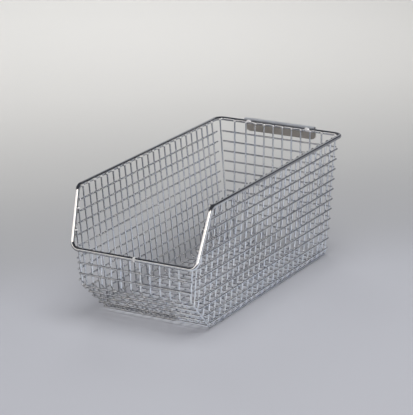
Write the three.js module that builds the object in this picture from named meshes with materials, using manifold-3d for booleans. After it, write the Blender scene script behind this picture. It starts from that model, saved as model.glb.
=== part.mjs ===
// Stack-and-hang bin of welded steel wire: an open-topped basket with a low hopper front.
// Units are millimetres, +Z is up, the low front faces -Y and the hanger plate is at the +Y end.
import * as THREE from 'three';
import { mergeVertices } from 'three/addons/utils/BufferGeometryUtils.js';
import Module from 'manifold-3d';

// ---------------------------------------------------------------- driving dimensions
const OVERALL_WIDTH = 139.7;
const OVERALL_HEIGHT = 124.3;
const RIM_LENGTH = 271; // between the centrelines of the front and rear runs of the rim
const PITCH = 10; // spacing of the mesh wires

const RIM_ROD = 3.8; // rod diameter
const WIRE = 1.6; // mesh wire diameter
const WELD_GAP = 0.3; // clearance kept between pieces that are welded together
const SHEET = 1.5; // thickness of the hanger plate

const FLOOR_HALF_WIDTH = 54.8; // wall centreline at the floor: the side walls lean outward
const FRONT_DROP = 52; // the front run of the rim lies this far below the rear run
const SLOPE_RUN = 20; // length over which the rim drops to the front
const PANEL_KICK = 0.4; // the front panel leans back this much between rim and bend
const BEND_HEIGHT = 37.8; // height of the bend between the front panel and the sloping toe
const REAR_LEAN = 4; // the rear wall leans back this much between floor and rim

const REAR_CORNER_RADIUS = 8;
const FRONT_CORNER_RADIUS = 7.6;
const SLOPE_BEND_RADIUS = 6;
const WIRE_BEND_RADIUS = 2.4;
const BELT_CORNER_RADIUS = 6;

const FIRST_ROW = 12.4; // depth of the first horizontal wire below the rim
const ROW_COUNT = 11;
const FIRST_CRADLE = 43; // distance of the first full cradle wire behind the front run
const CRADLE_COUNT = 22;
const FRONT_BARS = [64.8, 74.8]; // depth of each front panel bar below the rim
const TOE_BARS = [15.5, 25.5, 35.5, 45.5]; // distance of each toe bar down the slope from the bend
const BEND_BAR = 5.6; // distance of the first cradle wire down the slope from the bend

const PLATE_WIDTH = 76;
const PLATE_DROP = 9.6; // the plate's lower edge below the rim centreline
const PLATE_CORNER_RADIUS = 4;
const PLATE_BEND_RADIUS = 2.4; // outside of the fold
const FLANGE_OVERHANG = 1.9; // the flange reaches this far in front of the rim centreline

const END_LAP = 1.2; // wires run on this far past the centreline of the last mesh wire they cross
const RIM_LAP = 0.3; // the same past the centreline of the rim
const ARC_STEP = Math.PI / 6; // turn between two stations of a bend

// ---------------------------------------------------------------- derived dimensions
const RIM_RADIUS = RIM_ROD / 2;
const WIRE_RADIUS = WIRE / 2;
const LAYER = WIRE + WELD_GAP; // centre distance of two crossing wires
const LAP = RIM_RADIUS + WIRE_RADIUS + WELD_GAP; // centre distance of rim and mesh wire
const RIM_HALF_WIDTH = OVERALL_WIDTH / 2 - RIM_RADIUS;
const RIM_Z = OVERALL_HEIGHT - SHEET - WELD_GAP - RIM_RADIUS;
const FRONT_RIM_Z = RIM_Z - FRONT_DROP;
const FLOOR_Z = WIRE_RADIUS; // centre height of the lengthwise floor wires
const CRADLE_Z = FLOOR_Z + LAYER; // centre height of the crosswise floor wires
const WALL_TOP_X = RIM_HALF_WIDTH - LAP;
const WALL_SLOPE = (WALL_TOP_X - FLOOR_HALF_WIDTH) / (RIM_Z - FLOOR_Z);
const PANEL_Y = LAP;
const BEND_Y = PANEL_Y + PANEL_KICK;
const TOE_Y = BEND_Y + BEND_HEIGHT - FLOOR_Z; // the toe slopes at 45 degrees
const REAR_TOP_Y = RIM_LENGTH - LAP; // upright wires of the rear wall at the rim

/** Half width between the upright side wires at height z. */
function wallX(z) {
  return WALL_TOP_X - WALL_SLOPE * (RIM_Z - z);
}

/** Position of the upright wires of the front panel at height z. */
function panelY(z) {
  return PANEL_Y + (PANEL_KICK * (FRONT_RIM_Z - z)) / (FRONT_RIM_Z - BEND_HEIGHT);
}

/** Position of the lengthwise wires of the toe at height z. */
function toeY(z) {
  return TOE_Y - (z - FLOOR_Z);
}

/** Position of the upright wires of the rear wall at height z. */
function rearY(z) {
  return REAR_TOP_Y - (REAR_LEAN * (RIM_Z - z)) / (RIM_Z - FLOOR_Z);
}

/** Position of the sloping side run of the rim at height z. */
function slopeY(z) {
  return (SLOPE_RUN * (z - FRONT_RIM_Z)) / FRONT_DROP;
}

// ---------------------------------------------------------------- bent wire
/** A corner of a wire's centreline, rounded with the given radius. */
function corner(x, y, z, radius = 0) {
  return { point: new THREE.Vector3(x, y, z), radius };
}

/**
 * Centreline of a bent wire: straight runs joined by arcs. Its stations are the ends of the
 * straight runs and points along the arcs, and the parameter counts them evenly.
 */
class BentWire extends THREE.Curve {
  constructor(corners, side, closed = false) {
    super();
    this.stations = [];
    const last = corners.length - 1;
    corners.forEach((item, index) => {
      const isEnd = !closed && (index === 0 || index === last);
      const before = corners[index === 0 ? last : index - 1].point;
      const after = corners[index === last ? 0 : index + 1].point;
      if (isEnd) {
        const tangent = index === 0 ? after.clone().sub(item.point) : item.point.clone().sub(before);
        this.stations.push({ point: item.point, tangent: tangent.normalize() });
      } else {
        this.addArc(before, item, after);
      }
    });
    if (closed) {
      this.stations.push(this.stations[0]);
    }
    this.side = side;
  }

  addArc(before, item, after) {
    const entry = item.point.clone().sub(before).normalize();
    const exit = after.clone().sub(item.point).normalize();
    const turn = entry.angleTo(exit);
    const axis = entry.clone().cross(exit).normalize();
    const start = item.point.clone().addScaledVector(entry, -item.radius * Math.tan(turn / 2));
    const centre = start.clone().addScaledVector(axis.clone().cross(entry), item.radius);
    const steps = Math.ceil(turn / ARC_STEP);
    for (let step = 0; step <= steps; step += 1) {
      const angle = (turn * step) / steps;
      const point = start.clone().sub(centre).applyAxisAngle(axis, angle).add(centre);
      this.stations.push({ point, tangent: entry.clone().applyAxisAngle(axis, angle) });
    }
  }

  get steps() {
    return this.stations.length - 1;
  }

  getPoint(t, target = new THREE.Vector3()) {
    const place = t * this.steps;
    const index = Math.min(Math.round(place - 0.5), this.steps - 1);
    const from = this.stations[Math.max(index, 0)].point;
    const to = this.stations[Math.max(index, 0) + 1].point;
    return target.lerpVectors(from, to, place - Math.max(index, 0));
  }

  getPointAt(u, target) {
    return this.getPoint(u, target);
  }

  /** Frames whose normal keeps facing the wire's side direction. */
  computeFrenetFrames() {
    const tangents = this.stations.map((station) => station.tangent);
    const normals = tangents.map((tangent) => this.side.clone().projectOnPlane(tangent).normalize());
    const binormals = tangents.map((tangent, index) => tangent.clone().cross(normals[index]));
    return { tangents, normals, binormals };
  }

  /** Height of the wire where it first passes the given distance behind the front. */
  heightAt(y) {
    const after = this.stations.findIndex((station) => station.point.y >= y);
    const from = this.stations[after - 1].point;
    const to = this.stations[after].point;
    return THREE.MathUtils.mapLinear(y, from.y, to.y, from.z, to.z);
  }
}

/** Polygon around a round wire, with its flats on the wire's true radius. */
function wireSection(radius, sides) {
  const half = Math.PI / sides;
  const points = [];
  for (let index = 0; index < sides; index += 1) {
    const angle = (2 * index + 1) * half;
    const reach = radius / Math.cos(half);
    points.push(new THREE.Vector2(reach * Math.cos(angle), reach * Math.sin(angle)));
  }
  return new THREE.Shape(points);
}

/** Mesh wire along open corners. */
function wireGeometry(corners, side) {
  const path = new BentWire(corners, side);
  return new THREE.ExtrudeGeometry(wireSection(WIRE_RADIUS, 8), { steps: path.steps, extrudePath: path });
}

// ---------------------------------------------------------------- materials
const chrome = new THREE.MeshStandardMaterial({ color: 0xc9ccd1, roughness: 0.2, metalness: 1 });
const rimChrome = new THREE.MeshStandardMaterial({ color: 0xd6d8db, roughness: 0.1, metalness: 1 });
const plated = new THREE.MeshStandardMaterial({ color: 0xb8b7b3, roughness: 0.35, metalness: 1 });

const ACROSS = new THREE.Vector3(1, 0, 0);
const ALONG = new THREE.Vector3(0, 1, 0);
const UP = new THREE.Vector3(0, 0, 1);

const basket = new THREE.Group();

function addPiece(name, geometry, material) {
  const piece = new THREE.Mesh(geometry, material);
  piece.name = name;
  basket.add(piece);
}

function numbered(name, index) {
  return `${name}_${String(index + 1).padStart(2, '0')}`;
}

// ---------------------------------------------------------------- rim
/** Closed rod: level round the rear and sides, then down both slopes to the low front run. */
function rimPath() {
  const frontX = wallX(FRONT_RIM_Z) + LAP;
  const half = [
    corner(frontX, 0, FRONT_RIM_Z, FRONT_CORNER_RADIUS),
    corner(RIM_HALF_WIDTH, SLOPE_RUN, RIM_Z, SLOPE_BEND_RADIUS),
    corner(RIM_HALF_WIDTH, RIM_LENGTH, RIM_Z, REAR_CORNER_RADIUS),
  ];
  const mirrored = half.map(({ point, radius }) => corner(-point.x, point.y, point.z, radius));
  const squareToSlope = new THREE.Vector3(0, -FRONT_DROP, SLOPE_RUN);
  return new BentWire([...half, ...mirrored.reverse()], squareToSlope, true);
}

const rim = rimPath();
addPiece('rim_rod', new THREE.TubeGeometry(rim, rim.steps, RIM_RADIUS, 12, true), rimChrome);

// ---------------------------------------------------------------- lengthwise wires
/** Wire from the front rim down the panel and toe, along the floor and up the rear wall. */
function runnerCorners({ frontX, bendX, toeX, floorX, topX, topY, inset }) {
  return [
    corner(frontX, PANEL_Y, FRONT_RIM_Z + RIM_LAP),
    corner(bendX, BEND_Y, BEND_HEIGHT, WIRE_BEND_RADIUS),
    corner(toeX, TOE_Y, FLOOR_Z, WIRE_BEND_RADIUS),
    corner(floorX, rearY(FLOOR_Z) - inset, FLOOR_Z, WIRE_BEND_RADIUS),
    corner(topX, topY, RIM_Z + RIM_LAP),
  ];
}

const CORNER_INSET = 1.2; // the corner wires stand this far inside both walls
const PANEL_CORNER_INSET = 2.3; // and this far inside the side walls on the panel and toe
const OUTER_FRONT_X = 4.45 * PITCH;
const OUTER_REAR_X = 4.75 * PITCH;

/** The wires stand at half pitches each side of the middle, and the outer two spread. */
function runnerShape(place) {
  const side = Math.sign(place);
  const column = Math.abs(place);
  if (column > 5) {
    // the top end nests in the rounded rear corner of the rim
    const fromCorner = REAR_CORNER_RADIUS - (REAR_CORNER_RADIUS - LAP - WELD_GAP) * Math.SQRT1_2;
    return {
      frontX: side * (wallX(FRONT_RIM_Z) - PANEL_CORNER_INSET),
      bendX: side * (wallX(BEND_HEIGHT) - PANEL_CORNER_INSET),
      toeX: side * (FLOOR_HALF_WIDTH - PANEL_CORNER_INSET),
      floorX: side * (FLOOR_HALF_WIDTH - CORNER_INSET),
      topX: side * (RIM_HALF_WIDTH - fromCorner),
      topY: RIM_LENGTH - fromCorner,
      inset: CORNER_INSET,
    };
  }
  const frontX = column > 4 ? OUTER_FRONT_X : column * PITCH;
  const rearX = column > 4 ? OUTER_REAR_X : column * PITCH;
  return {
    frontX: side * frontX,
    bendX: side * frontX,
    toeX: side * frontX,
    floorX: side * rearX,
    topX: side * rearX,
    topY: REAR_TOP_Y,
    inset: 0,
  };
}

for (let index = 0; index < 12; index += 1) {
  const corners = runnerCorners(runnerShape(index - 5.5));
  addPiece(numbered('runner_wire', index), wireGeometry(corners, ACROSS), chrome);
}

// ---------------------------------------------------------------- crosswise wires
/** Wire from the left rim down the side wall, across the floor and up to the right rim. */
function cradleCorners(y, floorZ) {
  const topZ = rim.heightAt(y) + RIM_LAP;
  return [
    corner(-wallX(topZ), y, topZ),
    corner(-wallX(floorZ), y, floorZ, WIRE_BEND_RADIUS),
    corner(wallX(floorZ), y, floorZ, WIRE_BEND_RADIUS),
    corner(wallX(topZ), y, topZ),
  ];
}

/** Centre of a crosswise wire that lies on the outside of the toe. */
function toeBarPlace(distance) {
  const drop = distance * Math.SQRT1_2;
  const out = LAYER * Math.SQRT1_2;
  return { y: BEND_Y + drop - out, z: BEND_HEIGHT - drop - out };
}

const bend = toeBarPlace(BEND_BAR);
addPiece('bend_wire', wireGeometry(cradleCorners(bend.y, bend.z), ALONG), chrome);

for (let index = 0; index < CRADLE_COUNT; index += 1) {
  const corners = cradleCorners(FIRST_CRADLE + index * PITCH, CRADLE_Z);
  addPiece(numbered('cradle_wire', index), wireGeometry(corners, ALONG), chrome);
}

/** Short uprights ahead of the floor, which end on the edge of the toe. */
for (const [sideName, side] of [['left', -1], ['right', 1]]) {
  for (let index = 0; index < 3; index += 1) {
    const y = FIRST_CRADLE - (3 - index) * PITCH;
    const topZ = rim.heightAt(y) + RIM_LAP;
    const footZ = FLOOR_Z + TOE_Y - y;
    const corners = [corner(side * wallX(topZ), y, topZ), corner(side * wallX(footZ), y, footZ)];
    addPiece(numbered(`${sideName}_upright`, index), wireGeometry(corners, ALONG), chrome);
  }
}

// ---------------------------------------------------------------- horizontal wires
/** Where a belt wire ends at the front: at the sloping rim, the bend wire or the toe. */
function beltEndY(z) {
  const behindRim = 3.1; // clears the rim rod, which stands just outside the belt wires
  if (z > BEND_HEIGHT) {
    return Math.max(slopeY(z) + behindRim, bend.y - END_LAP);
  }
  return toeY(z) - WIRE_RADIUS;
}

for (let index = 0; index < ROW_COUNT; index += 1) {
  const z = RIM_Z - FIRST_ROW - index * PITCH;
  const x = wallX(z) + LAYER;
  const back = rearY(z) + LAYER;
  const corners = [
    corner(x, beltEndY(z), z),
    corner(x, back, z, BELT_CORNER_RADIUS),
    corner(-x, back, z, BELT_CORNER_RADIUS),
    corner(-x, beltEndY(z), z),
  ];
  addPiece(numbered('belt_wire', index), wireGeometry(corners, UP), chrome);
}

/** Straight wire across the outside of the front, just past both corner wires. */
function barCorners(y, z) {
  const reach = wallX(z) - PANEL_CORNER_INSET + END_LAP;
  return [corner(-reach, y, z), corner(reach, y, z)];
}

FRONT_BARS.forEach((depth, index) => {
  const z = RIM_Z - depth;
  addPiece(numbered('front_bar', index), wireGeometry(barCorners(panelY(z) - LAYER, z), UP), chrome);
});

TOE_BARS.forEach((distance, index) => {
  const { y, z } = toeBarPlace(distance);
  addPiece(numbered('toe_bar', index), wireGeometry(barCorners(y, z), UP), chrome);
});

// ---------------------------------------------------------------- hanger plate
const wasm = await Module();
wasm.setup();

function toSolid(geometry) {
  const bare = geometry.clone();
  bare.deleteAttribute('normal');
  bare.deleteAttribute('uv');
  const merged = mergeVertices(bare);
  return new wasm.Manifold(new wasm.Mesh({
    numProp: 3,
    vertProperties: new Float32Array(merged.attributes.position.array),
    triVerts: new Uint32Array(merged.index.array),
  }));
}

function toGeometry(solid) {
  const mesh = solid.getMesh();
  const geometry = new THREE.BufferGeometry();
  geometry.setAttribute('position', new THREE.BufferAttribute(new Float32Array(mesh.vertProperties), 3));
  geometry.setIndex(new THREE.BufferAttribute(new Uint32Array(mesh.triVerts), 1));
  geometry.computeVertexNormals();
  return geometry;
}

/** Section of the plate: a flange over the rim, folded down into a flap behind it. */
function plateSection() {
  const top = OVERALL_HEIGHT;
  const inside = RIM_LENGTH + RIM_RADIUS + WELD_GAP;
  const outside = inside + SHEET;
  const front = RIM_LENGTH - FLANGE_OVERHANG;
  const bottom = RIM_Z - PLATE_DROP;
  const inner = PLATE_BEND_RADIUS - SHEET;
  const section = new THREE.Shape();
  section.moveTo(front, top - SHEET);
  section.lineTo(inside - inner, top - SHEET);
  section.absarc(inside - inner, top - SHEET - inner, inner, Math.PI / 2, 0, true);
  section.lineTo(inside, bottom);
  section.lineTo(outside, bottom);
  section.lineTo(outside, top - PLATE_BEND_RADIUS);
  section.absarc(outside - PLATE_BEND_RADIUS, top - PLATE_BEND_RADIUS, PLATE_BEND_RADIUS, 0, Math.PI / 2);
  section.lineTo(front, top);
  return section;
}

/** Outline of the flap seen from behind, with rounded lower corners. */
function plateOutline() {
  const half = PLATE_WIDTH / 2;
  const bottom = RIM_Z - PLATE_DROP;
  const radius = PLATE_CORNER_RADIUS;
  const outline = new THREE.Shape();
  outline.moveTo(-half, OVERALL_HEIGHT + SHEET);
  outline.lineTo(-half, bottom + radius);
  outline.absarc(-half + radius, bottom + radius, radius, Math.PI, Math.PI * 1.5);
  outline.absarc(half - radius, bottom + radius, radius, Math.PI * 1.5, Math.PI * 2);
  outline.lineTo(half, OVERALL_HEIGHT + SHEET);
  return outline;
}

function hangerPlate() {
  const strip = new THREE.ExtrudeGeometry(plateSection(), {
    depth: PLATE_WIDTH + 2 * SHEET,
    bevelEnabled: false,
    curveSegments: 4,
  });
  // the section is drawn in Y and Z and extruded along X
  strip.applyMatrix4(new THREE.Matrix4().makeBasis(ALONG, UP, ACROSS));
  strip.translate(-PLATE_WIDTH / 2 - SHEET, 0, 0);
  const blank = new THREE.ExtrudeGeometry(plateOutline(), {
    depth: RIM_LENGTH,
    bevelEnabled: false,
    curveSegments: 6,
  });
  // the outline is drawn in X and Z and extruded along Y
  blank.rotateX(Math.PI / 2);
  blank.translate(0, 1.5 * RIM_LENGTH, 0);
  return toGeometry(toSolid(strip).intersect(toSolid(blank)));
}

addPiece('hanger_plate', hangerPlate(), plated);

// ---------------------------------------------------------------- placing
// The origin is the middle of the footprint of the whole bin, on the floor.
const frontFace = -RIM_RADIUS;
const rearFace = RIM_LENGTH + RIM_RADIUS + WELD_GAP + SHEET;
basket.position.y = -(frontFace + rearFace) / 2;

export default basket;
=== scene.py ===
"""Looks of a stack-and-hang bin of welded chrome wire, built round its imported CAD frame.

Routes are worked out in millimetres in the frame's own axes and become meshes in metres. The
dimensions are the part's own, and every piece is checked against the box of the node it stands for.
The studio round the bin is given in metres and watts.
"""
import math
import random

import bmesh
import bpy
from mathutils import Matrix, Vector


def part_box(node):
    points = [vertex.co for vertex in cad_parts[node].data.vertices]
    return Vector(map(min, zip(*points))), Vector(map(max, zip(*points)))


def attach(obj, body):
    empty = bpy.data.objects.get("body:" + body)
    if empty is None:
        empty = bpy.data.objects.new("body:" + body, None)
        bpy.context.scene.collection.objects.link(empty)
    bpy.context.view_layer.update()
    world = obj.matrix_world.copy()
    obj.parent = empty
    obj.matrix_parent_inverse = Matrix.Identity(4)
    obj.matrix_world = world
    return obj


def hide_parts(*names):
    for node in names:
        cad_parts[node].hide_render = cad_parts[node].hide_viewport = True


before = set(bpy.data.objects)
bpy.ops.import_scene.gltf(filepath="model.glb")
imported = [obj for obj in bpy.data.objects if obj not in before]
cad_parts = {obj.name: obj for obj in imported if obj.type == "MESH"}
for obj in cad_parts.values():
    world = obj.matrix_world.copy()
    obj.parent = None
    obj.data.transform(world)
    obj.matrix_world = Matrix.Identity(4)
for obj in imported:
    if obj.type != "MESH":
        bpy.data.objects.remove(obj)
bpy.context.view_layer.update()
random.seed(11)

# ---------------------------------------------------------------- driving dimensions, mm
MM = 0.001  # metres
OVERALL_WIDTH = 139.7
OVERALL_HEIGHT = 124.3
RIM_LENGTH = 271.0  # between the centrelines of the front and rear runs of the rim
PITCH = 10.0
RIM_RADIUS = 1.9
WIRE_RADIUS = 0.8
WELD_GAP = 0.3
SHEET = 1.5

FLOOR_HALF_WIDTH = 54.8
FRONT_DROP = 52.0  # from the level runs of the rim down to its front run
SLOPE_RUN = 20.0  # how far back the slopes of the rim reach
PANEL_KICK = 0.4  # how far the front panel leans in at its foot
BEND_HEIGHT = 37.8  # where the front panel turns into the toe
REAR_LEAN = 4.0  # how far the rear wall leans in at its foot

RUNNERS = 12
CRADLES = 22
UPRIGHTS = 3  # on each side
BELTS = 11

REAR_CORNER_RADIUS = 8.0
FRONT_CORNER_RADIUS = 7.6
SLOPE_BEND_RADIUS = 6.0
WIRE_BEND_RADIUS = 2.4

FIRST_ROW = 12.4  # from the rim down to the highest belt wire
FIRST_CRADLE = 43.0  # from the rim's front run back to the first cradle wire
FRONT_BARS = (64.8, 74.8)  # down from the level runs of the rim
TOE_BARS = (15.5, 25.5, 35.5, 45.5)  # down the toe from its bend
BEND_BAR = 5.6  # the bend wire, on the same line
END_LAP = 1.2  # how far a wire runs past the last one that it crosses
RIM_LAP = 0.3  # how far a wire runs past the centreline of the rim
BELT_BEHIND_RIM = 3.1  # how far the side rows start behind the line of the sloping rim
SIDE_ROW_SHORT = 3.0  # how far the side rows stop before the rear wall
CORNER_INSET = 1.2  # from the side walls in to the feet of the rear corner wires
REAR_ROW_SHORT = 0.4  # how far inside that the rear rows stop
PANEL_CORNER_INSET = 2.3  # from the side walls in to the corner wires of the front
OUTER_FRONT_COLUMN = 4.45  # pitches from the middle to the next wires in from the corner wires
OUTER_REAR_COLUMN = 4.75

PLATE_WIDTH = 76.0
PLATE_DROP = 9.6  # from the centreline of the rim down to the flap's lower edge
PLATE_CORNER_RADIUS = 4.0
PLATE_BEND_RADIUS = 2.4
PLATE_EDGE = 0.22  # the softening of its edges
FLANGE_OVERHANG = 1.9
PLATE_WELDS = ((-0.43, 2.8, 1.5), (0.41, 3.0, 2.2))  # place as a share of the width, length, height

WIRE_CHAMFER = 0.18
NUGGET_SIZE = (0.8, 0.8, 0.5)  # along the wire, across it, and through to the other wire
RIM_WELD_SIZE = (1.7, 1.5, 1.1)
DOME_SIZE = (1.0, 1.35, 1.35)

BEAD_PLACE = 1.5  # right of the middle of the front run
BEAD_HALF_WIDTH = 1.3
BEAD_PROUD = 0.55

WIRE_SIDES = 14  # of the section of a wire's mesh
RIM_SIDES = 36

# ---------------------------------------------------------------- derived dimensions
LAYER = 2 * WIRE_RADIUS + WELD_GAP
LAP = RIM_RADIUS + WIRE_RADIUS + WELD_GAP
RIM_HALF_WIDTH = OVERALL_WIDTH / 2 - RIM_RADIUS
RIM_Z = OVERALL_HEIGHT - SHEET - WELD_GAP - RIM_RADIUS
FRONT_RIM_Z = RIM_Z - FRONT_DROP
FLOOR_Z = WIRE_RADIUS
CRADLE_Z = FLOOR_Z + LAYER
WALL_TOP_X = RIM_HALF_WIDTH - LAP
WALL_SLOPE = (WALL_TOP_X - FLOOR_HALF_WIDTH) / (RIM_Z - FLOOR_Z)
PANEL_Y = LAP
BEND_Y = PANEL_Y + PANEL_KICK
TOE_Y = BEND_Y + BEND_HEIGHT - FLOOR_Z
REAR_TOP_Y = RIM_LENGTH - LAP
FRONT_TO_MIDDLE = (RIM_LENGTH + WELD_GAP + SHEET) / 2  # the frame's origin is the middle of the bin


def wall_x(z):
    """Half width between the upright side wires at height z."""
    return WALL_TOP_X - WALL_SLOPE * (RIM_Z - z)


def panel_y(z):
    """Place of the upright wires of the front panel at height z."""
    return PANEL_Y + PANEL_KICK * (FRONT_RIM_Z - z) / (FRONT_RIM_Z - BEND_HEIGHT)


def rear_y(z):
    """Place of the upright wires of the rear wall at height z."""
    return REAR_TOP_Y - REAR_LEAN * (RIM_Z - z) / (RIM_Z - FLOOR_Z)


# ---------------------------------------------------------------- routes of wires
def corner(x, y, z, radius=0.0):
    """A corner of a route and its bend radius, with y measured back from the front run of the rim."""
    return Vector((x, y - FRONT_TO_MIDDLE, z)), radius


def arc_stations(before, item, after, step):
    """Points and directions round one bent corner."""
    point, radius = item
    entry = (point - before).normalized()
    leave = (after - point).normalized()
    turn = entry.angle(leave)
    axis = entry.cross(leave).normalized()
    start = point - entry * radius * math.tan(turn / 2)
    centre = start + axis.cross(entry) * radius
    count = math.ceil(turn / step)
    made = []
    for index in range(count + 1):
        turned = Matrix.Rotation(turn * index / count, 3, axis)
        made.append((centre + turned @ (start - centre), turned @ entry))
    return made


def route(corners, closed=False, step=math.radians(12)):
    """Stations (point, direction) along straight runs joined by arcs."""
    stations = []
    last = len(corners) - 1
    for index, item in enumerate(corners):
        before = corners[index - 1][0]
        after = corners[(index + 1) % len(corners)][0]
        if not closed and index == 0:
            stations.append((item[0], (after - item[0]).normalized()))
        elif not closed and index == last:
            stations.append((item[0], (item[0] - before).normalized()))
        else:
            stations += arc_stations(before, item, after, step)
    return stations


def rim_corners():
    """Closed ring: low across the front, up both slopes, level along the sides and the rear."""
    front_x = wall_x(FRONT_RIM_Z) + LAP
    half = [
        (front_x, 0.0, FRONT_RIM_Z, FRONT_CORNER_RADIUS),
        (RIM_HALF_WIDTH, SLOPE_RUN, RIM_Z, SLOPE_BEND_RADIUS),
        (RIM_HALF_WIDTH, RIM_LENGTH, RIM_Z, REAR_CORNER_RADIUS),
    ]
    other = [(-x, y, z, radius) for x, y, z, radius in reversed(half)]
    return [corner(*values) for values in half + other]


def rim_height(y):
    """Height of the rim's side runs at a distance behind the front run."""
    stations = route(rim_corners(), closed=True, step=math.radians(30))
    line = [(point.y + FRONT_TO_MIDDLE, point.z) for point, _ in stations]
    for (y0, z0), (y1, z1) in zip(line, line[1:]):
        if y0 < y <= y1:
            return z0 + (z1 - z0) * (y - y0) / (y1 - y0)
    return RIM_Z


def runner_corners(column):
    """Lengthwise wire: front panel, toe, floor, rear wall. Columns count pitches from the middle."""
    side = math.copysign(1.0, column)
    place = abs(column)
    if place > 5:
        from_corner = REAR_CORNER_RADIUS - (REAR_CORNER_RADIUS - LAP - WELD_GAP) * math.sqrt(0.5)
        front_x = wall_x(FRONT_RIM_Z) - PANEL_CORNER_INSET
        bend_x = wall_x(BEND_HEIGHT) - PANEL_CORNER_INSET
        toe_x = FLOOR_HALF_WIDTH - PANEL_CORNER_INSET
        floor_x = FLOOR_HALF_WIDTH - CORNER_INSET
        foot_y = rear_y(FLOOR_Z) - CORNER_INSET
        top_x = RIM_HALF_WIDTH - from_corner
        top_y = RIM_LENGTH - from_corner
    else:
        outer = place > 4
        front_x = bend_x = toe_x = PITCH * (OUTER_FRONT_COLUMN if outer else place)
        floor_x = top_x = PITCH * (OUTER_REAR_COLUMN if outer else place)
        foot_y, top_y = rear_y(FLOOR_Z), REAR_TOP_Y
    return [
        corner(side * front_x, PANEL_Y, FRONT_RIM_Z + RIM_LAP),
        corner(side * bend_x, BEND_Y, BEND_HEIGHT, WIRE_BEND_RADIUS),
        corner(side * toe_x, TOE_Y, FLOOR_Z, WIRE_BEND_RADIUS),
        corner(side * floor_x, foot_y, FLOOR_Z, WIRE_BEND_RADIUS),
        corner(side * top_x, top_y, RIM_Z + RIM_LAP),
    ]


def cradle_corners(y, floor_z):
    """Crosswise U: left wall, floor, right wall."""
    top_z = rim_height(y) + RIM_LAP
    return [
        corner(-wall_x(top_z), y, top_z),
        corner(-wall_x(floor_z), y, floor_z, WIRE_BEND_RADIUS),
        corner(wall_x(floor_z), y, floor_z, WIRE_BEND_RADIUS),
        corner(wall_x(top_z), y, top_z),
    ]


def upright_corners(side, y):
    """Short upright of a side wall, cut off at the edge of the toe."""
    top_z = rim_height(y) + RIM_LAP
    foot_z = FLOOR_Z + TOE_Y - y
    return [
        corner(side * wall_x(top_z), y, top_z),
        corner(side * wall_x(foot_z), y, foot_z),
    ]


def toe_bar_place(distance):
    """Place of a crosswise wire on the outside of the toe, at a distance down from the bend."""
    drop = distance * math.sqrt(0.5)
    out = LAYER * math.sqrt(0.5)
    return BEND_Y + drop - out, BEND_HEIGHT - drop - out


def belt_end_y(z):
    """Where a belt wire ends: behind the sloping rim, at the bend wire or on the toe."""
    if z > BEND_HEIGHT:
        behind_rim = SLOPE_RUN * (z - FRONT_RIM_Z) / FRONT_DROP + BELT_BEHIND_RIM
        return max(behind_rim, toe_bar_place(BEND_BAR)[0] - END_LAP)
    return TOE_Y - (z - FLOOR_Z) - WIRE_RADIUS


def belt_rows(z):
    """One level of horizontal wires: a row on the outside of each side wall and of the rear wall."""
    x = wall_x(z) + LAYER
    side_end = rear_y(z) - SIDE_ROW_SHORT
    back = rear_y(z) + LAYER
    rear_end = wall_x(z) - CORNER_INSET - REAR_ROW_SHORT
    return [
        [corner(x, belt_end_y(z), z), corner(x, side_end, z)],
        [corner(-x, belt_end_y(z), z), corner(-x, side_end, z)],
        [corner(-rear_end, back, z), corner(rear_end, back, z)],
    ]


def bar_corners(y, z):
    """Straight wire across the outside of the front, just past both corner wires."""
    reach = wall_x(z) - PANEL_CORNER_INSET + END_LAP
    return [corner(-reach, y, z), corner(reach, y, z)]


ACROSS = Vector((1, 0, 0))
ALONG = Vector((0, 1, 0))
UP = Vector((0, 0, 1))


def numbered(name, index):
    return f"{name}_{index + 1:02d}"


def wire_list():
    """Every mesh wire as (CAD node, its straight or bent rows, side direction of the section)."""
    wires = []
    for index in range(RUNNERS):
        column = index - (RUNNERS - 1) / 2
        wires.append((numbered("runner_wire", index), [runner_corners(column)], ACROSS))
    wires.append(("bend_wire", [cradle_corners(*toe_bar_place(BEND_BAR))], ALONG))
    for index in range(CRADLES):
        y = FIRST_CRADLE + index * PITCH
        wires.append((numbered("cradle_wire", index), [cradle_corners(y, CRADLE_Z)], ALONG))
    for name, side in (("left_upright", -1), ("right_upright", 1)):
        for index in range(UPRIGHTS):
            y = FIRST_CRADLE - (UPRIGHTS - index) * PITCH
            wires.append((numbered(name, index), [upright_corners(side, y)], ALONG))
    for index in range(BELTS):
        z = RIM_Z - FIRST_ROW - index * PITCH
        wires.append((numbered("belt_wire", index), belt_rows(z), UP))
    for index, depth in enumerate(FRONT_BARS):
        z = RIM_Z - depth
        wires.append((numbered("front_bar", index), [bar_corners(panel_y(z) - LAYER, z)], UP))
    for index, distance in enumerate(TOE_BARS):
        wires.append((numbered("toe_bar", index), [bar_corners(*toe_bar_place(distance))], UP))
    return wires


# ---------------------------------------------------------------- materials
def new_material(name):
    """A bare metal, with the nodes and links of its tree and its shader."""
    material = bpy.data.materials.new(name)
    material.use_nodes = True
    nodes = material.node_tree.nodes
    shader = nodes["Principled BSDF"]
    shader.inputs["Metallic"].default_value = 1.0
    return material, nodes, material.node_tree.links, shader


def noise(nodes, links, coordinates, scale, detail, roughness=0.5):
    """Noise of a scale per metre."""
    texture = nodes.new("ShaderNodeTexNoise")
    texture.inputs["Scale"].default_value = scale
    texture.inputs["Detail"].default_value = detail
    texture.inputs["Roughness"].default_value = roughness
    links.new(coordinates, texture.inputs["Vector"])
    return texture.outputs["Fac"]


def spread(nodes, links, value, low, high, start=0.35, stop=0.65):
    """Maps a value from start to stop onto the range from low to high."""
    mapped = nodes.new("ShaderNodeMapRange")
    mapped.inputs["From Min"].default_value = start
    mapped.inputs["From Max"].default_value = stop
    mapped.inputs["To Min"].default_value = low
    mapped.inputs["To Max"].default_value = high
    links.new(value, mapped.inputs["Value"])
    return mapped.outputs["Result"]


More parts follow.
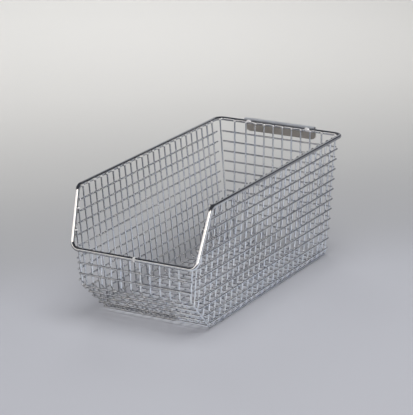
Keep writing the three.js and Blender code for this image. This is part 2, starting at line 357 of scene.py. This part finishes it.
def mixed(nodes, links, factor, first, second):
    """A colour between two, by a factor. The first may come out of another node."""
    mix = nodes.new("ShaderNodeMix")
    mix.data_type = "RGBA"
    if isinstance(first, bpy.types.NodeSocket):
        links.new(first, mix.inputs["A"])
    else:
        mix.inputs["A"].default_value = (*first, 1)
    mix.inputs["B"].default_value = (*second, 1)
    links.new(factor, mix.inputs["Factor"])
    return mix.outputs["Result"]


def bumped(nodes, links, height, distance, strength, normal=None):
    """Relief of a depth in metres, laid over another relief if there is one."""
    bump = nodes.new("ShaderNodeBump")
    bump.inputs["Distance"].default_value = distance
    bump.inputs["Strength"].default_value = strength
    links.new(height, bump.inputs["Height"])
    if normal:
        links.new(normal, bump.inputs["Normal"])
    return bump.outputs["Normal"]


def plated_material(name, cool, warm, smooth, dull, streaks):
    """Plating over drawn wire: patchy gloss, a faint change of tint, and draw lines along the wire."""
    material, nodes, links, shader = new_material(name)
    place = nodes.new("ShaderNodeTexCoord")
    patches = noise(nodes, links, place.outputs["Object"], 90.0, 3.0)
    tint = mixed(nodes, links, spread(nodes, links, patches, 0.0, 1.0), cool, warm)
    links.new(tint, shader.inputs["Base Color"])
    smears = noise(nodes, links, place.outputs["Object"], 420.0, 4.0, 0.6)
    links.new(spread(nodes, links, smears, smooth, dull), shader.inputs["Roughness"])

    stretch = nodes.new("ShaderNodeMapping")
    stretch.inputs["Scale"].default_value = (40.0, 2600.0, 1.0)
    links.new(place.outputs["UV"], stretch.inputs["Vector"])
    lines = noise(nodes, links, stretch.outputs["Vector"], 1.0, 3.0)
    pits = noise(nodes, links, place.outputs["Object"], 1500.0, 2.0)
    first = bumped(nodes, links, lines, 0.00004, streaks)
    links.new(bumped(nodes, links, pits, 0.00003, 0.3, first), shader.inputs["Normal"])
    return material


def weld_material(name, hollow, metallic):
    """Plated weld metal, uneven, with darker hollows."""
    material, nodes, links, shader = new_material(name)
    place = nodes.new("ShaderNodeTexCoord")
    patches = noise(nodes, links, place.outputs["Object"], 260.0, 4.0)
    tint = mixed(nodes, links, spread(nodes, links, patches, 0.0, 1.0), hollow, (0.97, 0.96, 0.95))
    links.new(tint, shader.inputs["Base Color"])
    shader.inputs["Metallic"].default_value = metallic
    grain = noise(nodes, links, place.outputs["Object"], 900.0, 4.0)
    links.new(spread(nodes, links, grain, 0.1, 0.3), shader.inputs["Roughness"])
    links.new(bumped(nodes, links, grain, 0.0002, 0.5), shader.inputs["Normal"])
    return material


def sheet_material():
    """Plated sheet with the grain of its rolling along it, and painted light on its flange: a duller,
    cooler, less metallic top that looks lit from above.
    """
    material, nodes, links, shader = new_material("plated_sheet")
    place = nodes.new("ShaderNodeTexCoord")
    patches = noise(nodes, links, place.outputs["Object"], 70.0, 4.0)
    mottle = spread(nodes, links, patches, 0.0, 1.0)
    tint = mixed(nodes, links, mottle, (0.6, 0.55, 0.49), (0.7, 0.65, 0.59))
    split = nodes.new("ShaderNodeSeparateXYZ")
    links.new(place.outputs["Object"], split.inputs["Vector"])
    # Painted light: the flange on top gets a cool grey with less metal than the flap, which lightens it
    # like the light it catches from above.
    below = (RIM_Z + RIM_RADIUS - 0.4) * MM
    above = (RIM_Z + RIM_RADIUS + 0.2) * MM
    flange_painted_light_mask = spread(nodes, links, split.outputs["Z"], 0.0, 1.0, below, above)
    tint_with_flange_painted_light = mixed(nodes, links, flange_painted_light_mask, tint, (0.5, 0.52, 0.56))
    links.new(tint_with_flange_painted_light, shader.inputs["Base Color"])
    links.new(spread(nodes, links, flange_painted_light_mask, 0.85, 0.35, 0.0, 1.0), shader.inputs["Metallic"])
    stretch = nodes.new("ShaderNodeMapping")
    stretch.inputs["Scale"].default_value = (60.0, 2200.0, 2200.0)
    links.new(place.outputs["Object"], stretch.inputs["Vector"])
    grain = noise(nodes, links, stretch.outputs["Vector"], 1.0, 4.0, 0.6)
    links.new(spread(nodes, links, grain, 0.28, 0.5), shader.inputs["Roughness"])
    links.new(bumped(nodes, links, grain, 0.00006, 0.5), shader.inputs["Normal"])
    return material


# ---------------------------------------------------------------- meshes
def add_piece(name, vertices, faces, material):
    """A smooth mesh in metres, riding on the bin's one body."""
    mesh = bpy.data.meshes.new(name)
    mesh.from_pydata([vertex * MM for vertex in vertices], [], faces)
    mesh.update()
    mesh.shade_smooth()
    mesh.materials.append(material)
    piece = bpy.data.objects.new(name, mesh)
    bpy.context.scene.collection.objects.link(piece)
    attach(piece, "root")
    return piece


def with_support_rings(stations, closed):
    """Extra rings just inside both ends of each straight run, which keep its shading straight."""
    margin, shortest = 0.4, 2.0
    held = []
    following = stations[1:] + (stations[:1] if closed else [])
    for one, two in zip(stations, following):
        held.append(one)
        length = (two[0] - one[0]).length
        if length > shortest:
            straight = (two[0] - one[0]) / length
            held.append((one[0] + straight * margin, straight, one[2]))
            held.append((two[0] - straight * margin, straight, two[2]))
    return held if closed else held + [stations[-1]]


def tube(stations, side, sides, closed=False):
    """A round wire along stations (point, direction, radius): its vertices, faces, and the texture
    coordinates of each face in metres, along the wire and round it."""
    stations = with_support_rings(stations, closed)
    vertices, faces, places = [], [], []
    lengths = [0.0]
    for one, two in zip(stations, stations[1:] + stations[:1]):
        lengths.append(lengths[-1] + (two[0] - one[0]).length * MM)
    for point, direction, radius in stations:
        across = (side - direction * side.dot(direction)).normalized()
        third = direction.cross(across)
        for spoke in range(sides):
            angle = math.tau * spoke / sides
            vertices.append(point + (across * math.cos(angle) + third * math.sin(angle)) * radius)
    rings = len(stations)
    width = math.tau * stations[1][2] * MM / sides
    for ring in range(rings if closed else rings - 1):
        base, ahead = ring * sides, ((ring + 1) % rings) * sides
        start, stop = lengths[ring], lengths[ring + 1]
        for spoke in range(sides):
            beside = (spoke + 1) % sides
            low, high = spoke * width, (spoke + 1) * width
            faces.append((base + beside, ahead + beside, ahead + spoke, base + spoke))
            places.append(((start, high), (stop, high), (stop, low), (start, low)))
    if not closed:
        faces.append(tuple(reversed(range(sides))))
        faces.append(tuple(range((rings - 1) * sides, rings * sides)))
        places += [((0.0, 0.0),) * sides] * 2
    return vertices, faces, places


def wire_piece(name, tubes, material):
    """One piece of one or more tubes."""
    vertices, faces, places = [], [], []
    for tube_vertices, tube_faces, tube_places in tubes:
        base = len(vertices)
        vertices += tube_vertices
        faces += [tuple(base + index for index in face) for face in tube_faces]
        places += tube_places
    piece = add_piece(name, vertices, faces, material)
    layer = piece.data.uv_layers.new(name="along").data
    for polygon, spots in zip(piece.data.polygons, places):
        for loop, spot in zip(polygon.loop_indices, spots):
            layer[loop].uv = spot
    return piece


def with_cut_ends(stations, radius):
    """Adds a radius to each station, and a small chamfer at both sheared ends."""
    first, last = stations[0], stations[-1]
    start = (first[0] + first[1] * WIRE_CHAMFER, first[1])
    stop = (last[0] - last[1] * WIRE_CHAMFER, last[1])
    body = [start] + stations[1:-1] + [stop]
    widths = [(point, direction, radius) for point, direction in body]
    return [(*first, radius - WIRE_CHAMFER)] + widths + [(*last, radius - WIRE_CHAMFER)]


def stand_for(piece, node):
    """The piece replaces its CAD node, whose box it has to fill."""
    allowed = 0.3 * MM
    low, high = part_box(node)
    for axis in range(3):
        made = [spot[axis] for spot in piece.bound_box]
        if abs(min(made) - low[axis]) > allowed or abs(max(made) - high[axis]) > allowed:
            raise ValueError(f"{piece.name} doesn't fill the box of {node}")
    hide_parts(node)


# ---------------------------------------------------------------- welds
def nearest(one, two):
    """Nearest points of two segments, each given by its ends."""
    a, b = one[1] - one[0], two[1] - two[0]
    gap = one[0] - two[0]
    aa, ab, bb, ag, bg = a.dot(a), a.dot(b), b.dot(b), a.dot(gap), b.dot(gap)
    angled = aa * bb - ab * ab  # nought where the segments are parallel
    along_one = (ab * bg - bb * ag) / angled if angled > 1e-6 * aa * bb else 0.5
    along_one = min(max(along_one, 0.0), 1.0)
    along_two = min(max((ab * along_one + bg) / bb, 0.0), 1.0)
    along_one = min(max((ab * along_two - ag) / aa, 0.0), 1.0)
    return one[0] + a * along_one, two[0] + b * along_two


def segments(stations):
    """The straight pieces between stations, each given by its ends."""
    return [(one[0], two[0]) for one, two in zip(stations, stations[1:])]


def boxes_meet(one, two, reach):
    """Whether the boxes round two segments come within reach of each other."""
    return all(
        min(one[0][axis], one[1][axis]) - reach < max(two[0][axis], two[1][axis])
        and min(two[0][axis], two[1][axis]) - reach < max(one[0][axis], one[1][axis])
        for axis in range(3)
    )


def crossings(first, second, reach):
    """Places where two routes pass within reach: points on the first and the second, and a direction."""
    apart = 2.5  # one crossing near a bend is found on two segments
    found = []
    for one in first:
        for two in second:
            if not boxes_meet(one, two, reach):
                continue
            here, there = nearest(one, two)
            if (there - here).length > reach:
                continue
            if all((here - other[0]).length > apart for other in found):
                found.append((here, there, (one[1] - one[0]).normalized()))
    return found


def lump(centre, axes, sizes, vertices, faces, rings=5, spokes=9):
    """A slightly uneven ellipsoid, added to the vertices and faces of a piece."""
    base = len(vertices)
    phase = random.uniform(0, math.tau)
    for ring in range(rings + 1):
        polar = math.pi * ring / rings
        for spoke in range(spokes if 0 < ring < rings else 1):
            angle = math.tau * spoke / spokes + phase
            uneven = 1 + random.uniform(-0.07, 0.07)
            flat = math.sin(polar)
            reach = (flat * math.cos(angle), flat * math.sin(angle), math.cos(polar))
            offset = sum((axis * size * part for axis, size, part in zip(axes, sizes, reach)), Vector())
            vertices.append(centre + offset * uneven)
    last = len(vertices) - 1
    for spoke in range(spokes):
        beside = (spoke + 1) % spokes
        faces.append((base, base + 1 + spoke, base + 1 + beside))
        foot = last - spokes
        faces.append((last, foot + beside, foot + spoke))
        for ring in range(rings - 2):
            here = base + 1 + ring * spokes
            faces.append((here + spoke, here + spokes + spoke, here + spokes + beside, here + beside))


class WeldPiece:
    """Welds of one part of the bin, gathered in one mesh."""

    def __init__(self, name):
        self.name = name
        self.vertices = []
        self.faces = []

    def add(self, here, there, direction, radius, sizes):
        """A nugget in the gap between two rods, of sizes along, across and through."""
        through = (there - here).normalized()
        along = (direction - through * direction.dot(through)).normalized()
        centre = here + through * (radius + WELD_GAP / 2)
        uneven = random.uniform(0.88, 1.12)
        axes = (along, through.cross(along), through)
        lump(centre, axes, [size * uneven for size in sizes], self.vertices, self.faces)

    def finish(self, material):
        add_piece(self.name, self.vertices, self.faces, material)


def side_of_bin(point):
    """The welds of which of the bin's faces a point belongs to."""
    inside = 1.0
    y, z = point.y + FRONT_TO_MIDDLE, point.z
    if z < CRADLE_Z + WIRE_RADIUS:
        return "welds_floor"
    if y > rear_y(z) - LAYER:
        return "welds_rear"
    if abs(point.x) > wall_x(z) - inside:
        return "welds_left" if point.x < 0 else "welds_right"
    return "welds_front"


def add_mesh_welds(routes):
    """A nugget wherever two mesh wires cross."""
    reach = LAYER + 0.15
    pieces = {}
    names = list(routes)
    for index, name in enumerate(names):
        for other in names[index + 1:]:
            for here, there, direction in crossings(routes[name], routes[other], reach):
                side = side_of_bin((here + there) / 2)
                piece = pieces.setdefault(side, WeldPiece(side))
                piece.add(here, there, direction, WIRE_RADIUS, NUGGET_SIZE)
    for piece in pieces.values():
        piece.finish(weld_metal)


def add_rim_welds(routes, rim_route):
    """A fatter weld wherever the end of a mesh wire meets the rim, and a dome on the end, whitened as a
    painted glint.
    """
    reach = LAP + 0.4
    sunk = 0.3
    piece = WeldPiece("welds_rim")
    domes = WeldPiece("domes_rim")
    for wire in routes.values():
        for tip, inner in (wire[0], reversed(wire[-1])):
            meeting = [nearest((tip, inner), part) for part in rim_route]
            here, there = min(meeting, key=lambda pair: (pair[0] - pair[1]).length)
            if (there - here).length < reach and (here - tip).length < LAP:
                inward = (inner - tip).normalized()
                piece.add(here, there, inward, WIRE_RADIUS, RIM_WELD_SIZE)
                across = inward.orthogonal().normalized()
                sizes = [size * random.uniform(0.8, 1.25) for size in DOME_SIZE]
                axes = (inward, across, inward.cross(across))
                lump(tip + inward * sunk, axes, sizes, domes.vertices, domes.faces)
    piece.finish(weld_metal)
    domes.finish(weld_painted_glint)


def add_rim_bead():
    """The bead where the rim's two ends are butted together, dressed flush on its front."""
    spokes, rings = 40, 7
    edge_depth, unevenness = 0.04, 0.05
    vertices, faces = [], []
    for ring in range(rings):
        off_centre = 2 * ring / (rings - 1) - 1
        x = BEAD_PLACE + BEAD_HALF_WIDTH * off_centre
        crown = BEAD_PROUD * math.sqrt(1 - off_centre ** 2) - edge_depth
        for spoke in range(spokes):
            angle = math.tau * spoke / spokes
            radius = RIM_RADIUS + crown + random.uniform(-unevenness, unevenness)
            y = max(radius * math.cos(angle), -RIM_RADIUS)
            vertices.append(corner(x, y, FRONT_RIM_Z + radius * math.sin(angle))[0])
    for ring in range(rings - 1):
        for spoke in range(spokes):
            beside = (spoke + 1) % spokes
            here, ahead = ring * spokes, (ring + 1) * spokes
            faces.append((here + spoke, here + beside, ahead + beside, ahead + spoke))
    faces.append(tuple(reversed(range(spokes))))
    faces.append(tuple(range((rings - 1) * spokes, rings * spokes)))
    # The bead is whitened: a painted glint.
    add_piece("rim_bead", vertices, faces, weld_painted_glint)


# ---------------------------------------------------------------- hanger plate
def plate_line():
    """Middle of the sheet from the flange's front edge over the fold to the flap's lower edge."""
    middle = SHEET / 2
    flap_y = RIM_LENGTH + RIM_RADIUS + WELD_GAP + middle
    corners = [
        corner(0, RIM_LENGTH - FLANGE_OVERHANG, OVERALL_HEIGHT - middle),
        corner(0, flap_y, OVERALL_HEIGHT - middle, PLATE_BEND_RADIUS - middle),
        corner(0, flap_y, RIM_Z - PLATE_DROP),
    ]
    rough = route(corners)
    longest_step = 0.8
    line = []
    for (one, direction), (two, after) in zip(rough, rough[1:]):
        steps = max(round((two - one).length / longest_step), 1)
        for step in range(steps):
            share = step / steps
            line.append((one.lerp(two, share), direction.lerp(after, share).normalized()))
    return line + [rough[-1]]


def plate_half_width(height):
    """Half the sheet's width at a height: the flap's lower corners are rounded."""
    above = height - (RIM_Z - PLATE_DROP)
    cut = PLATE_CORNER_RADIUS - min(above, PLATE_CORNER_RADIUS)
    return PLATE_WIDTH / 2 - PLATE_CORNER_RADIUS + math.sqrt(PLATE_CORNER_RADIUS ** 2 - cut ** 2)


def add_plate():
    """A closed folded sheet with softened edges."""
    columns = 48
    line = plate_line()
    shape = bmesh.new()
    sheets = []
    for face_side in (-0.5, 0.5):
        rows = []
        for point, direction in line:
            outward = direction.cross(ACROSS)
            half = plate_half_width(point.z)
            middle = point + outward * face_side * SHEET
            rows.append([
                shape.verts.new((middle + ACROSS * half * (2 * column / columns - 1)) * MM)
                for column in range(columns + 1)
            ])
        sheets.append(rows)
    inner, outer = sheets

    def add_edge(start, stop):
        """A face across the thickness of the sheet, between two spots on its edge."""
        spots = ((outer, start), (outer, stop), (inner, stop), (inner, start))
        shape.faces.new([sheet[row][column] for sheet, (row, column) in spots])

    last = len(line) - 1
    for row in range(last):
        for column in range(columns):
            spots = ((row, column), (row, column + 1), (row + 1, column + 1), (row + 1, column))
            shape.faces.new([outer[r][c] for r, c in spots])
            shape.faces.new([inner[r][c] for r, c in reversed(spots)])
        for column in (0, columns):
            add_edge((row, column), (row + 1, column))
    for column in range(columns):
        for row in (0, last):
            add_edge((row, column), (row, column + 1))
    bmesh.ops.recalc_face_normals(shape, faces=shape.faces)
    sharp = [edge for edge in shape.edges if edge.calc_face_angle(0) > math.radians(60)]
    bmesh.ops.bevel(shape, geom=sharp, offset=PLATE_EDGE * MM, segments=3, profile=0.5, affect="EDGES")
    mesh = bpy.data.meshes.new("folded_plate")
    shape.to_mesh(mesh)
    shape.free()
    mesh.shade_smooth()
    mesh.materials.append(plated_sheet)
    plate = bpy.data.objects.new("folded_plate", mesh)
    bpy.context.scene.collection.objects.link(plate)
    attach(plate, "root")
    stand_for(plate, "hanger_plate")


def add_plate_welds():
    """Fillets that join the flange to the rim near both of its ends."""
    depth = 1.4
    below_flange = 0.3
    piece = WeldPiece("welds_plate")
    for share, length, height in PLATE_WELDS:
        z = RIM_Z + RIM_RADIUS - below_flange - height / 3
        centre = corner(share * PLATE_WIDTH, RIM_LENGTH - FLANGE_OVERHANG, z)[0]
        sizes = (length, depth, height)
        lump(centre, (ACROSS, ALONG, UP), sizes, piece.vertices, piece.faces, rings=8, spokes=14)
    # The fillets are whitened: a painted glint.
    piece.finish(weld_painted_glint)


# ---------------------------------------------------------------- build
rim_chrome = plated_material("rim_chrome", (0.84, 0.86, 0.89), (0.92, 0.91, 0.89), 0.03, 0.08, 0.15)
wire_chrome = plated_material("wire_chrome", (0.86, 0.89, 0.94), (0.95, 0.95, 0.94), 0.04, 0.12, 0.3)
weld_metal = weld_material("weld_metal", (0.3, 0.31, 0.33), 0.95)
# Painted glint: a whitish, mostly unmetallic weld, so the domes, the rim bead and the plate's fillets show
# as bright dots under any light.
weld_painted_glint = weld_material("weld_painted_glint", (0.9, 0.9, 0.91), 0.3)
plated_sheet = sheet_material()

rim_stations = route(rim_corners(), closed=True, step=math.radians(5))
square_to_slope = Vector((0, -FRONT_DROP, SLOPE_RUN))
rim_line = [(*station, RIM_RADIUS) for station in rim_stations]
rim_tube = tube(rim_line, square_to_slope, RIM_SIDES, closed=True)
stand_for(wire_piece("rim", [rim_tube], rim_chrome), "rim_rod")

wire_routes = {}
for node, rows, side in wire_list():
    tubes = []
    for index, corners in enumerate(rows):
        stations = route(corners)
        wire_routes[node, index] = segments(stations)
        tubes.append(tube(with_cut_ends(stations, WIRE_RADIUS), side, WIRE_SIDES))
    stand_for(wire_piece(f"drawn_{node}", tubes, wire_chrome), node)

add_mesh_welds(wire_routes)
add_rim_welds(wire_routes, segments(rim_stations + rim_stations[:1]))
add_rim_bead()
add_plate()
add_plate_welds()


# ---------------------------------------------------------------- stage, light and camera
# The paper's colours are painted light and shade: a band of painted shade behind the bin, and painted light
# that brightens it towards the back.
COOL_PAPER = (0.555, 0.565, 0.612)
PAINTED_SHADE_PAPER = (0.43, 0.435, 0.455)
MIDDLE_PAPER = (0.55, 0.55, 0.545)
WARM_PAINTED_LIGHT_PAPER = (0.8, 0.79, 0.765)
PAPER_LIGHT_AND_SHADE_STOPS = (  # metres back from the bin, and the colour there
    (-0.3, COOL_PAPER),
    (0.0, COOL_PAPER),
    (0.13, PAINTED_SHADE_PAPER),
    (0.36, MIDDLE_PAPER),
    (0.7, WARM_PAINTED_LIGHT_PAPER),
)


def paper_painted_light_and_shade():
    """Pale paper that turns from cool near the front to warm at the back, with a soft band of painted shade
    between; the brighter warm back is painted light.
    """
    nearest_depth, farthest_depth = -0.4, 1.2
    backward = math.radians(135)  # from the X axis: back and to the left
    material = bpy.data.materials.new("paper_painted_light_and_shade")
    material.use_nodes = True
    nodes, links = material.node_tree.nodes, material.node_tree.links
    shader = nodes["Principled BSDF"]
    shader.inputs["Roughness"].default_value = 0.9
    shader.inputs["Specular IOR Level"].default_value = 0.0
    place = nodes.new("ShaderNodeTexCoord")
    turned = nodes.new("ShaderNodeMapping")
    turned.vector_type = "TEXTURE"
    turned.inputs["Rotation"].default_value = (0, 0, backward)
    links.new(place.outputs["Object"], turned.inputs["Vector"])
    split = nodes.new("ShaderNodeSeparateXYZ")
    links.new(turned.outputs["Vector"], split.inputs["Vector"])
    ramp = nodes.new("ShaderNodeValToRGB")
    ramp.color_ramp.interpolation = "B_SPLINE"
    depth = nodes.new("ShaderNodeMapRange")
    depth.inputs["From Min"].default_value = nearest_depth
    depth.inputs["From Max"].default_value = farthest_depth
    links.new(split.outputs["X"], depth.inputs["Value"])
    links.new(depth.outputs["Result"], ramp.inputs["Fac"])
    elements = ramp.color_ramp.elements
    while len(elements) < len(PAPER_LIGHT_AND_SHADE_STOPS):
        elements.new(0.5)
    for element, (distance, colour) in zip(elements, PAPER_LIGHT_AND_SHADE_STOPS):
        element.position = (distance - nearest_depth) / (farthest_depth - nearest_depth)
        element.color = (*colour, 1)
    links.new(ramp.outputs["Color"], shader.inputs["Base Color"])
    return material


def add_rectangle(name, low, high, height, material):
    """Level rectangle of the stage, from its low to its high corner."""
    outline = [(low[0], low[1]), (high[0], low[1]), (high[0], high[1]), (low[0], high[1])]
    mesh = bpy.data.meshes.new(name)
    mesh.from_pydata([(x, y, height) for x, y in outline], [], [(0, 1, 2, 3)])
    mesh.materials.append(material)
    rectangle = bpy.data.objects.new(name, mesh)
    bpy.context.scene.collection.objects.link(rectangle)
    return rectangle


def add_area(name, place, target, width, height, power, colour, mirrored):
    """Soft light that faces its target, which the chrome mirrors or not."""
    light = bpy.data.lights.new(name, "AREA")
    light.shape = "RECTANGLE"
    light.size = width
    light.size_y = height
    light.energy = power
    light.color = colour
    lamp = bpy.data.objects.new(name, light)
    lamp.location = place
    lamp.rotation_mode = "QUATERNION"
    lamp.rotation_quaternion = (Vector(target) - Vector(place)).to_track_quat("-Z", "Y")
    lamp.visible_glossy = mirrored
    lamp.visible_camera = False
    bpy.context.scene.collection.objects.link(lamp)


def add_painted_reflection_card(name, low, high, colour, height=0.002):
    """Card just over the floor, which only the chrome sees: a painted reflection, dark or pale, that the
    floor under it doesn't give.
    """
    material = bpy.data.materials.new(name)
    material.use_nodes = True
    shader = material.node_tree.nodes["Principled BSDF"]
    shader.inputs["Base Color"].default_value = (*colour, 1)
    shader.inputs["Roughness"].default_value = 1.0
    card = add_rectangle(name, low, high, height, material)
    card.visible_camera = False
    card.visible_shadow = False
    card.visible_diffuse = False


def add_world():
    """A pale sweep up to a little above the horizon, and a dark room over it."""
    world = bpy.data.worlds.new("studio")
    world.use_nodes = True
    nodes, links = world.node_tree.nodes, world.node_tree.links
    place = nodes.new("ShaderNodeTexCoord")
    split = nodes.new("ShaderNodeSeparateXYZ")
    links.new(place.outputs["Generated"], split.inputs["Vector"])
    ramp = nodes.new("ShaderNodeValToRGB")
    links.new(split.outputs["Z"], ramp.inputs["Fac"])
    low, high = ramp.color_ramp.elements
    low.position, low.color = 0.1, (0.24, 0.25, 0.28, 1)
    high.position, high.color = 0.24, (0.04, 0.042, 0.05, 1)
    links.new(ramp.outputs["Color"], nodes["Background"].inputs["Color"])
    bpy.context.scene.world = world


CAMERA_PLACE = (0.922281, -1.457071, 0.554707)  # from a point at rim height over the front run's middle
CAMERA_AZIMUTH = math.radians(30.183)
CAMERA_ELEVATION = math.radians(18.013)
CAMERA_ROLL = math.radians(-0.875)
FOCAL_LENGTH = 182.147595  # mm, on a frame 36 mm high


def add_camera():
    """Looks from the right of the front, from above."""
    azimuth, elevation, roll = CAMERA_AZIMUTH, CAMERA_ELEVATION, CAMERA_ROLL
    back = Vector((
        math.sin(azimuth) * math.cos(elevation),
        -math.cos(azimuth) * math.cos(elevation),
        math.sin(elevation),
    ))
    right = (-back).cross(UP).normalized()
    up = right.cross(-back)
    rolled_right = right * math.cos(roll) + up * math.sin(roll)
    rolled_up = -right * math.sin(roll) + up * math.cos(roll)
    lens = bpy.data.cameras.new("camera")
    lens.sensor_width = 36.0
    lens.lens = FOCAL_LENGTH
    lens.clip_end = 50.0
    camera = bpy.data.objects.new("camera", lens)
    camera.matrix_world = Matrix((
        (rolled_right.x, rolled_up.x, back.x, CAMERA_PLACE[0]),
        (rolled_right.y, rolled_up.y, back.y, CAMERA_PLACE[1] - FRONT_TO_MIDDLE * MM),
        (rolled_right.z, rolled_up.z, back.z, CAMERA_PLACE[2] + RIM_Z * MM),
        (0, 0, 0, 1),
    ))
    bpy.context.scene.collection.objects.link(camera)
    bpy.context.scene.camera = camera


FLOOR_REACH = 9.0
add_rectangle("studio_floor", (-FLOOR_REACH, -FLOOR_REACH), (FLOOR_REACH, FLOOR_REACH), 0.0, paper_painted_light_and_shade())
# Painted reflections: the dark and grey cards put shade and the bin's shadow into the chrome, and the pale
# cards put in brighter light than the floor there gives.
add_painted_reflection_card("painted_dark_reflection_card", (-3.0, -3.0), (3.0, -0.27), (0.02, 0.02, 0.024))
add_painted_reflection_card("painted_shadow_reflection_card", (-0.6, -0.19), (0.02, -0.09), (0.1, 0.1, 0.11))
add_painted_reflection_card("painted_light_reflection_card", (0.021, -0.269), (0.6, 0.14), (0.7, 0.73, 0.8))
add_painted_reflection_card("painted_light_reflection_front_card", (-0.1, -0.33), (0.07, -0.191), (0.75, 0.78, 0.85), 0.0025)
add_painted_reflection_card("painted_shadow_reflection_strip", (-0.2, -0.089), (-0.055, 0.149), (0.1, 0.1, 0.11))
add_painted_reflection_card("painted_dark_reflection_back_card", (-0.8, 0.15), (1.2, 1.6), (0.26, 0.26, 0.28))
add_world()
add_area("window_front", (1.2, -2.08, 0.85), (0, 0, 0.06), 2.0, 1.3, 17, (1.0, 0.95, 0.9), True)
add_area("window_back", (-0.8, 2.9, 1.55), (0, 0, 0.1), 2.0, 1.1, 2.6, (0.97, 0.98, 1.0), True)
add_area("window_left", (-1.38, -1.97, 0.78), (0, 0, 0.06), 1.75, 0.6, 4.76, (1.0, 0.96, 0.92), True)
add_area("overhead", (0.5, -0.3, 2.2), (0.1, 0.2, 0), 1.7, 1.7, 39, (1.0, 1.0, 1.0), False)
add_area("overhead_back", (-0.78, 0.96, 0.95), (-0.77, 0.95, 0), 0.6, 0.6, 5.3, (1.0, 1.0, 1.0), False)
add_camera()
bpy.context.scene.view_settings.view_transform = "Standard"
